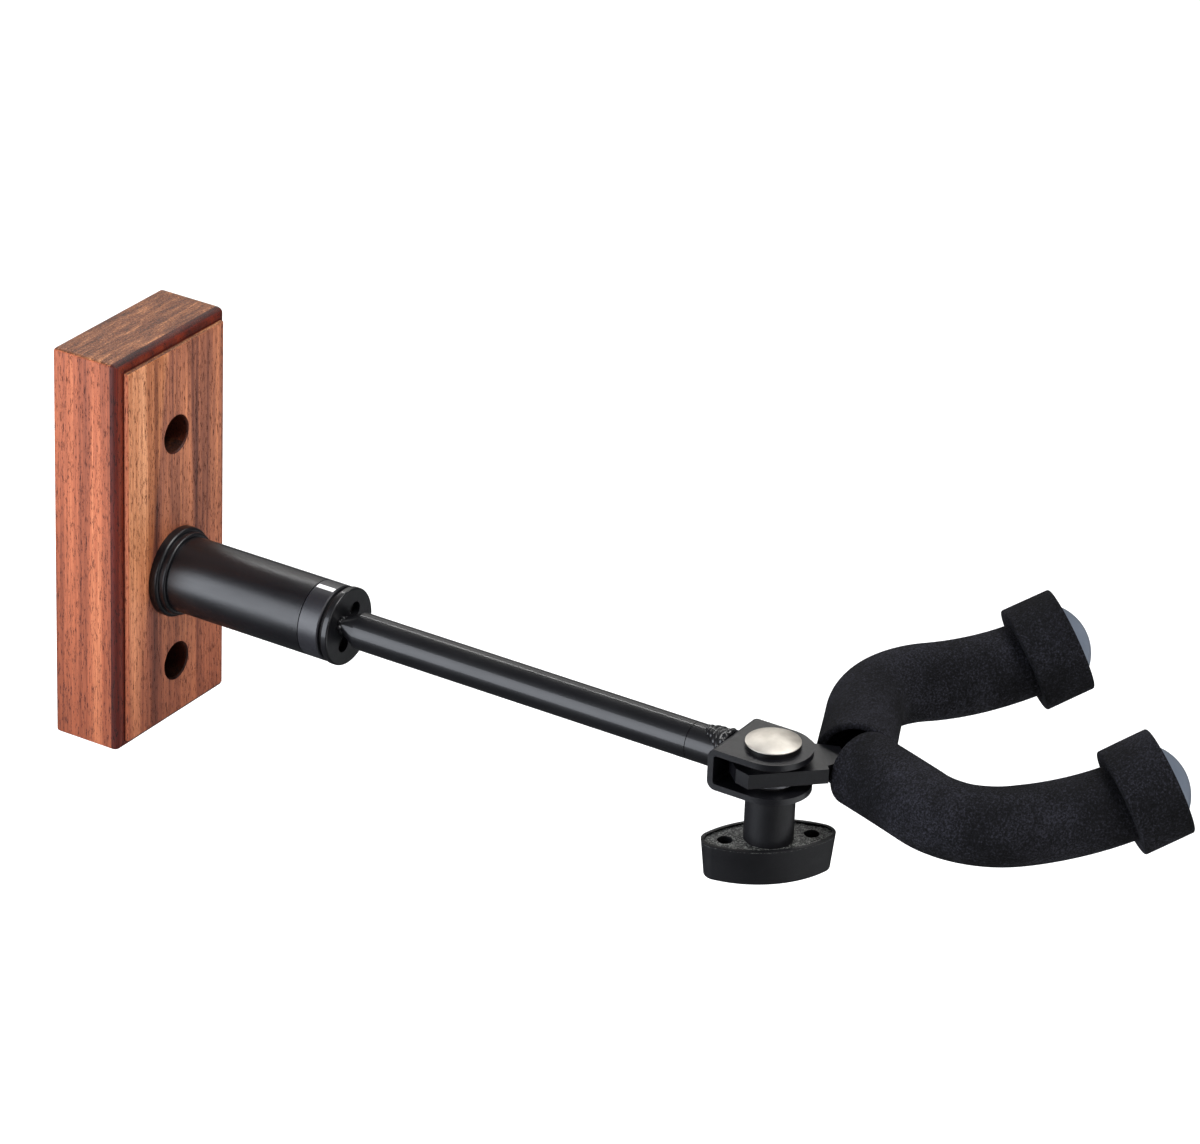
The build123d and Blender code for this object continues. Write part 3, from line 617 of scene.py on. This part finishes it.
# ---- Pivot bolt: a carriage bolt with a low domed head, nickel plated and softly polished, over a black
# washer.
nickel_skin = skin_group("nickel_skin", 0.16, 2.2)
nickel = coated(
    "satin_nickel",
    colour(178, 172, 163),
    colour(212, 207, 198),
    0.52,
    pebble=0.5,
    cloud=1.2,
    depth=0.00002,
    group=nickel_skin,
    Metallic=1.0,
)
finish_node("pivot_bolt", nickel)
bolt_low, bolt_high = (np.array(corner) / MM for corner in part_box("pivot_bolt"))

# ---- Foam: two long sleeves slipped over the bent bar, and a shorter, wider collar over each tip. All are
# black closed-cell tube, cut square, soft at the edges, and squeezed thinner on the inside of each bend.
FORK_ANGLE = radians(46.8)
ROD_DROP = 1.8
ROD_RADIUS = 4.0
BASE_REACH = 26.8
SPLAY = radians(68.0)
SLEEVE_START = 3.1
HALF_GAP = 48.5
SIDE_BEND = 28.7
RISE_BEND = 107.6
RISE = radians(22.8)
TIP_STRAIGHT = 7.1
SLEEVE_RADIUS = 12.6
COLLAR_RADIUS = 17.7
COLLAR_LENGTH = 17.0
PARTING = 0.2

pivot_y = bolt_low[1] + (bolt_high[1] - bolt_low[1]) / 2
fork_out = np.array((sin(FORK_ANGLE), -cos(FORK_ANGLE), 0))
fork_across = np.array((cos(FORK_ANGLE), sin(FORK_ANGLE), 0))
shoulder_length = (HALF_GAP - SIDE_BEND * (1 - cos(SPLAY)) - SLEEVE_START) / sin(SPLAY)
stretches = np.cumsum([0, shoulder_length, SIDE_BEND * SPLAY, RISE_BEND * RISE, TIP_STRAIGHT])
fine = np.linspace(0, stretches[-1], 2001)
heading = np.interp(fine, stretches[:3], (SPLAY, SPLAY, 0))
slope = np.interp(fine, stretches[2:4], (0, RISE))
step = np.stack([np.cos(heading) * np.cos(slope), np.sin(heading) * np.cos(slope), np.sin(slope)], -1)
line = np.vstack([np.zeros(3), np.cumsum((step[1:] + step[:-1]) / 2 * np.diff(fine)[:, None], 0)])
line += (BASE_REACH + SLEEVE_START / np.tan(SPLAY), SLEEVE_START, -ROD_DROP)


def along(distance, side):
    """The fork bar's line at distances from the sleeve's start: place, direction, inward and upward unit
    vectors. It turns at a steady rate through the side bend, then climbs at a steady rate to its tip."""
    frame_axes = np.stack([fork_out, side * fork_across, (0, 0, 1)])
    spot = np.stack([np.interp(distance, fine, line[:, k]) for k in range(3)], -1) @ frame_axes
    turn = np.interp(distance, fine, heading)
    climb = np.interp(distance, fine, slope)
    inward = np.stack([np.sin(turn), -np.cos(turn), 0 * turn], -1) @ frame_axes
    level = np.cos(climb)
    ahead = np.stack([np.cos(turn) * level, np.sin(turn) * level, np.sin(climb)], -1) @ frame_axes
    upward = np.cross(ahead, inward) * side
    return spot + (0, pivot_y, 0), ahead, inward, upward


def foam_tube(name, side, start, bore, outer, edge, squeeze, seed, straight=False, parts=96):
    """A tube of foam along the bar: a closed loop of (distance, radius) runs out over the outside, over the
    rounded end and back through the bore, and is carried round the bar. Slow waves and a squeeze in the bend
    vary it, and nothing passes the fork's middle, where the two sleeves press each other flat. A straight
    tube follows the tip's direction."""
    end = stretches[-1]
    steps = max(int((end - start) / 1.2), 8)
    outside = [(s, outer) for s in np.linspace(start + 3 * edge, end - 3 * edge, steps)]
    curl = np.linspace(0, pi / 2, 6)
    far_edge = np.stack([end - edge + edge * np.sin(curl), outer - edge + edge * np.cos(curl)], -1)
    near_edge = np.stack([start + edge - edge * np.cos(curl), outer - edge + edge * np.sin(curl)], -1)
    bore_line = np.array(bore, float)
    loop = np.vstack([outside, far_edge, bore_line[::-1], near_edge])
    spot, ahead, inward, upward = along(np.clip(loop[:, 0], 0, end), side)
    if straight:
        spot, ahead, inward, upward = along(np.full(len(loop), end), side)
        spot = spot + (loop[:, 0] - end)[:, None] * ahead
    angle = np.linspace(0, 2 * pi, parts, endpoint=False)
    inner_side = np.clip(np.cos(angle), 0, 1)[None, :] ** 1.5
    bend_start, bend_end = stretches[1], stretches[2]
    bend_share = np.interp(loop[:, 0], (bend_start, (bend_start + bend_end) / 2, bend_end), (0, 1, 0))
    generator = np.random.default_rng(seed)
    waviness = np.zeros((len(loop), parts))
    for _ in range(10):
        lobes = generator.integers(0, 4)
        waves = generator.uniform(0.02, 0.12)
        phase, lag = generator.uniform(0, 6.28, 2)
        waviness += 0.07 * np.cos(lobes * angle[None, :] + phase) * np.cos(waves * loop[:, 0][:, None] + lag)
    outer_share = np.repeat((1.0, 0.0, 1.0), (len(outside) + len(curl), len(bore), len(curl)))[:, None]
    radius = loop[:, 1][:, None] + outer_share * (waviness - squeeze * bend_share[:, None] * inner_side)
    spokes = np.cos(angle)[None, :, None] * inward[:, None] + np.sin(angle)[None, :, None] * upward[:, None]
    grid = spot[:, None] + radius[..., None] * spokes
    from_middle = side * ((grid - (0, pivot_y, 0)) @ fork_across)
    nearest = PARTING + 1.2 * (1 - outer_share)
    grid += (side * np.clip(nearest - from_middle, 0, None))[..., None] * fork_across
    return skin(name, grid, loop=True, sharp=70)


foam, tree, shader = shade("black_foam", Specular_IOR_Level=0.12)
cells = node(tree, "TexVoronoi", Vector=place(tree, (1.5, 1.5, 1.5)), Scale=1.0).outputs["Distance"]
grit = noise(tree, (1.5, 1.5, 1.5), 3.0, 0.8)
patches = noise(tree, (0.05, 0.05, 0.05), 3.0)
foam_tone = reckon(tree, "ADD", reckon(tree, "MULTIPLY", grit, 0.75), reckon(tree, "MULTIPLY", patches, 0.25))
tree.links.new(
    ramp(tree, foam_tone, [(0.38, colour(2, 2, 3)), (0.5, colour(10, 10, 13)), (0.62, colour(38, 38, 45))]),
    shader.inputs["Base Color"],
)
tree.links.new(reckon(tree, "MULTIPLY_ADD", grit, 0.2, 0.78), shader.inputs["Roughness"])
foam_height = reckon(tree, "ADD", reckon(tree, "MULTIPLY", cells, 0.6), grit)
bump = node(tree, "Bump", Strength=0.8, Distance=0.0004, Height=foam_height)
tree.links.new(bump.outputs["Normal"], shader.inputs["Normal"])

tip = stretches[-1]
rod_room = ROD_RADIUS + 0.1
hollow = [(0.0, 10.6), (0.4, 10.3), (6.0, 9.6), (11.0, 7.5), (14.0, rod_room)]
sleeve_bore = hollow + [(s, rod_room) for s in np.linspace(16, tip - 8, 100)] + [(tip - 7.2, 6.6), (tip, 6.7)]
collar_bore = [(tip - COLLAR_LENGTH, SLEEVE_RADIUS + 0.3), (tip - COLLAR_LENGTH + 0.4, SLEEVE_RADIUS)]
collar_bore += [(s, SLEEVE_RADIUS) for s in (tip - 12, tip - 6)] + [(tip, SLEEVE_RADIUS)]
for side, name in ((-1, "left"), (1, "right")):
    sleeve = foam_tube(
        f"sleeve_{name}", side, 0.0, sleeve_bore, SLEEVE_RADIUS, edge=0.9, squeeze=1.4, seed=11 + side
    )
    collar = foam_tube(
        f"collar_{name}",
        side,
        tip - COLLAR_LENGTH,
        collar_bore,
        COLLAR_RADIUS - 0.1,
        edge=0.7,
        squeeze=0.0,
        seed=31 + side,
        straight=True,
    )
    for piece, kind in ((sleeve, "sleeve"), (collar, "collar")):
        piece.data.materials.append(foam)
        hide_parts(f"foam_{kind}_{name}")
        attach(piece, "fork")

# ---- End caps: blue-grey plastic domes pressed on the bar's tips to close the foam.
cap_plastic = coated("cap_plastic", colour(76, 83, 94), colour(98, 105, 116), 0.34, 0.5, 0.8)
for name in ("end_cap_left", "end_cap_right"):
    finish_node(name, cap_plastic)

# ---- Clamp knob: moulded in black plastic on a round stem, lens-shaped from above, finely textured on top.
RECESS_FLOOR = -25.3
knob_plastic = coated(
    "knob_plastic", colour(9, 9, 11), colour(16, 16, 19), 0.5, 1.2, 0.8, 0.00005, Specular_IOR_Level=0.24
)
tree = knob_plastic.node_tree
shader = tree.nodes["Principled BSDF"]
knob_level = node(tree, "SeparateXYZ", Vector=place(tree, (1, 1, 1))).outputs["Z"]
in_recess = reckon(tree, "COMPARE", knob_level, RECESS_FLOOR, 0.03)
grains = noise(tree, (1.6, 1.6, 1.6), 2.0, 0.8)
speckle = ramp(
    tree, grains, [(0.4, colour(12, 12, 13)), (0.5, colour(38, 39, 38)), (0.6, colour(120, 122, 118))]
)
plain_colour = shader.inputs["Base Color"].links[0].from_socket
tree.links.new(blend(tree, in_recess, plain_colour, speckle), shader.inputs["Base Color"])
finish_node("clamp_knob", knob_plastic)
